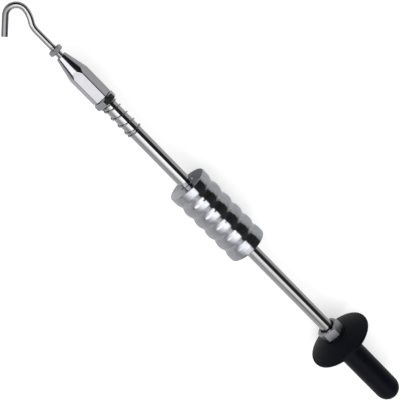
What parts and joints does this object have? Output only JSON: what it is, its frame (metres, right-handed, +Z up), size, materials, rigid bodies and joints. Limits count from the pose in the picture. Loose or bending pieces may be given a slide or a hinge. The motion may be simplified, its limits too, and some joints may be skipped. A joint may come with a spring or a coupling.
{
  "type": "slide hammer puller",
  "caption": "Slide hammer puller: a bent round hook on a tapered hexagon coupler, a long rod with spring bumper and waisted sliding weight, a stop nut and a black grip with a round hand guard.",
  "frame": {"origin": "on the tool's axis, at the middle of the grip's straight bar", "axes": "+X along the axis from the hook towards the grip's rounded end; the hook bends in the XY plane with its free leg at -Y; +Z up, as the tool lies in the picture"},
  "size_m": [0.675, 0.0844, 0.0844],
  "materials": {
    "hook_bar": "bright drawn bar, faint lengthwise draw lines",
    "zinc_nut": "dull zinc plate",
    "bright_hexagon": "polished plate on drawn flats, turned rings on the cone",
    "large_nut": "bright zinc plate, satin",
    "spring_wire": "plated spring wire",
    "rod_chrome": "ground and chromed, mirror bright",
    "weight_chrome": "chromed over fine turning, end faces turned",
    "black_moulding": "black satin moulding, slightly soft",
    "insert_steel": "plain turned steel"
  },
  "bodies": {
    "frame": {"slide_rod": "rod_chrome", "coupler": "bright_hexagon", "front_jam_nut": "large_nut", "rear_stop_nut": "large_nut", "grip": "black_moulding", "grip_insert": "insert_steel"},
    "weight": {"sliding_weight": "weight_chrome"},
    "spring": {"bumper_spring": "spring_wire"},
    "hook_body": {"hook": "hook_bar"},
    "lock_nut": {"hook_lock_nut": "zinc_nut"}
  },
  "joints": [
    {"name": "weight_slide", "type": "slide", "parent": "frame", "child": "weight", "axis": [1, 0, 0], "range_m": [-0.0848, 0.1517]},
    {"name": "spring_compress", "type": "slide", "parent": "frame", "child": "spring", "axis": [1, 0, 0], "range_m": [-0.029, 0], "stiffness_N_per_m": 3900, "deforming": ["bumper_spring"]},
    {"name": "hook_turn", "type": "hinge", "parent": "frame", "child": "hook_body", "pos_m": [-0.527, 0, 0], "axis": [1, 0, 0], "range_deg": [-180, 180]},
    {"name": "lock_nut_travel", "type": "slide", "parent": "hook_body", "child": "lock_nut", "axis": [1, 0, 0], "range_m": [-0.003, 0.0051]}
  ]
}
